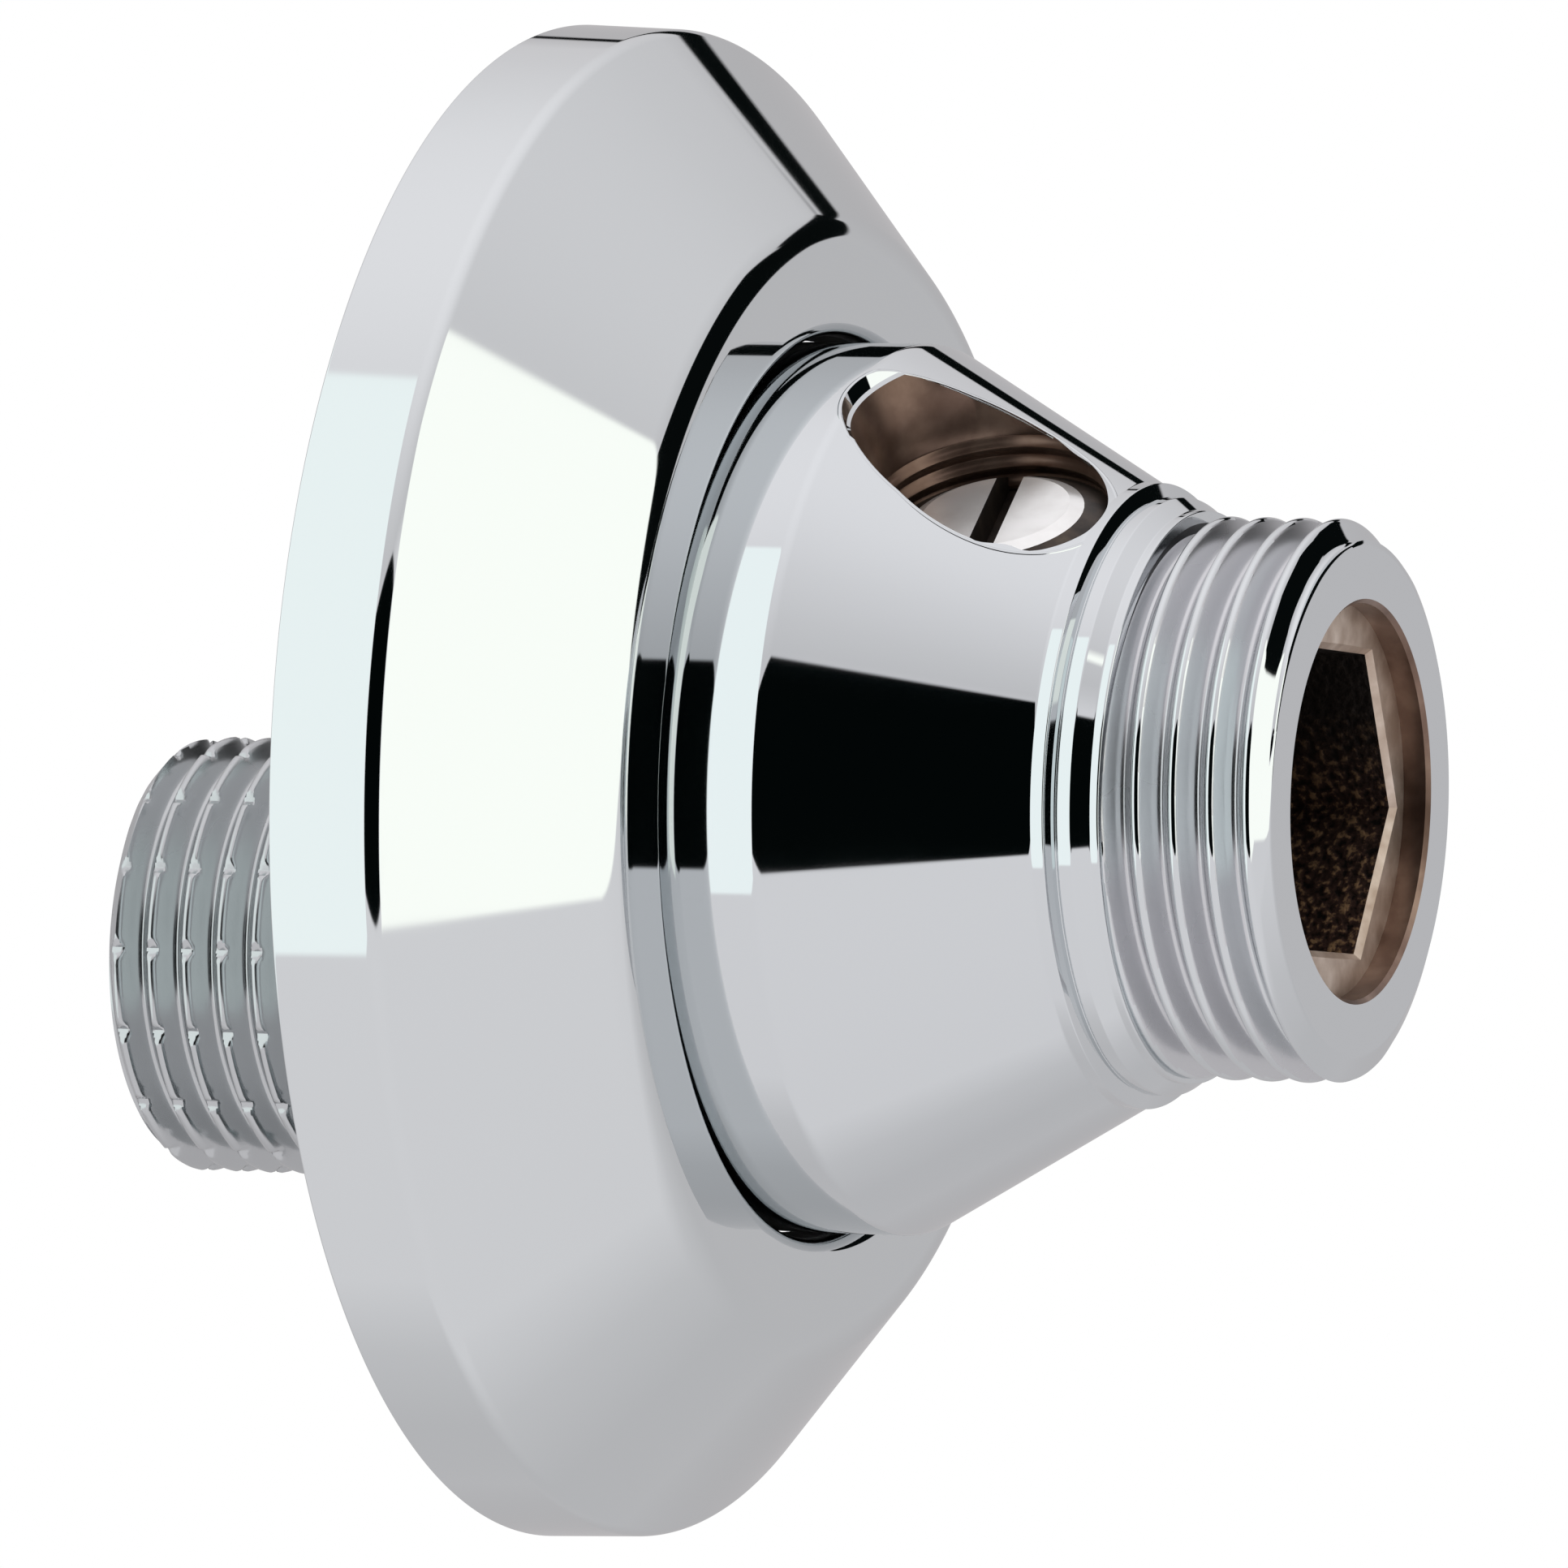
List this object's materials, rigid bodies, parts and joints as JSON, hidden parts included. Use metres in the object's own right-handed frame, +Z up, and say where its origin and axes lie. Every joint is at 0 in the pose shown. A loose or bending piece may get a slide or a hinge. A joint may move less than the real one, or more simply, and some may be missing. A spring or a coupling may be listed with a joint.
{
  "type": "eccentric union with shut-off valve",
  "caption": "Chromed eccentric union for a wall mixer: offset threaded body with hexagon mouth, slotted shut-off spindle and a sliding conical escutcheon.",
  "frame": {"origin": "on the wall thread's axis, in the wall plane, which is the back of the escutcheon at rest", "axes": "+Y along the wall thread's axis, into the wall; -Y towards the mixer; +Z up, towards the mixer thread's axis and the valve port; +X to the right as seen from the mixer"},
  "size_m": [0.0716, 0.0617, 0.0716],
  "materials": {
    "body_chrome": "polished chrome on cast and turned brass, bare brown brass inside",
    "escutcheon_chrome": "polished chrome on spun sheet",
    "spindle_metal": "turned, pale plated",
    "ring_rubber": "matt black",
    "washer_rubber": "matt black"
  },
  "bodies": {
    "union": {"union_body": "body_chrome"},
    "rosette": {"escutcheon": "escutcheon_chrome", "escutcheon_ring": "ring_rubber"},
    "valve_tip": {"seat_washer": "washer_rubber"},
    "spindle": {"shutoff_spindle": "spindle_metal", "spindle_ring": "ring_rubber"}
  },
  "joints": [
    {"name": "escutcheon_slide", "type": "slide", "parent": "union", "child": "rosette", "axis": [0, 1, 0], "range_m": [0, 0.008]},
    {"name": "spindle_travel", "type": "slide", "parent": "union", "child": "valve_tip", "axis": [0, 0, 1], "range_m": [-0.002, 0]},
    {"name": "spindle_turn", "type": "hinge", "parent": "valve_tip", "child": "spindle", "pos_m": [0, -0.0235, 0], "axis": [0, 0, 1], "range_deg": [-720.5, 0]}
  ],
  "couplings": [
    {"joint": "spindle_turn", "follows": "spindle_travel", "rad_per_m": 6283.2}
  ]
}
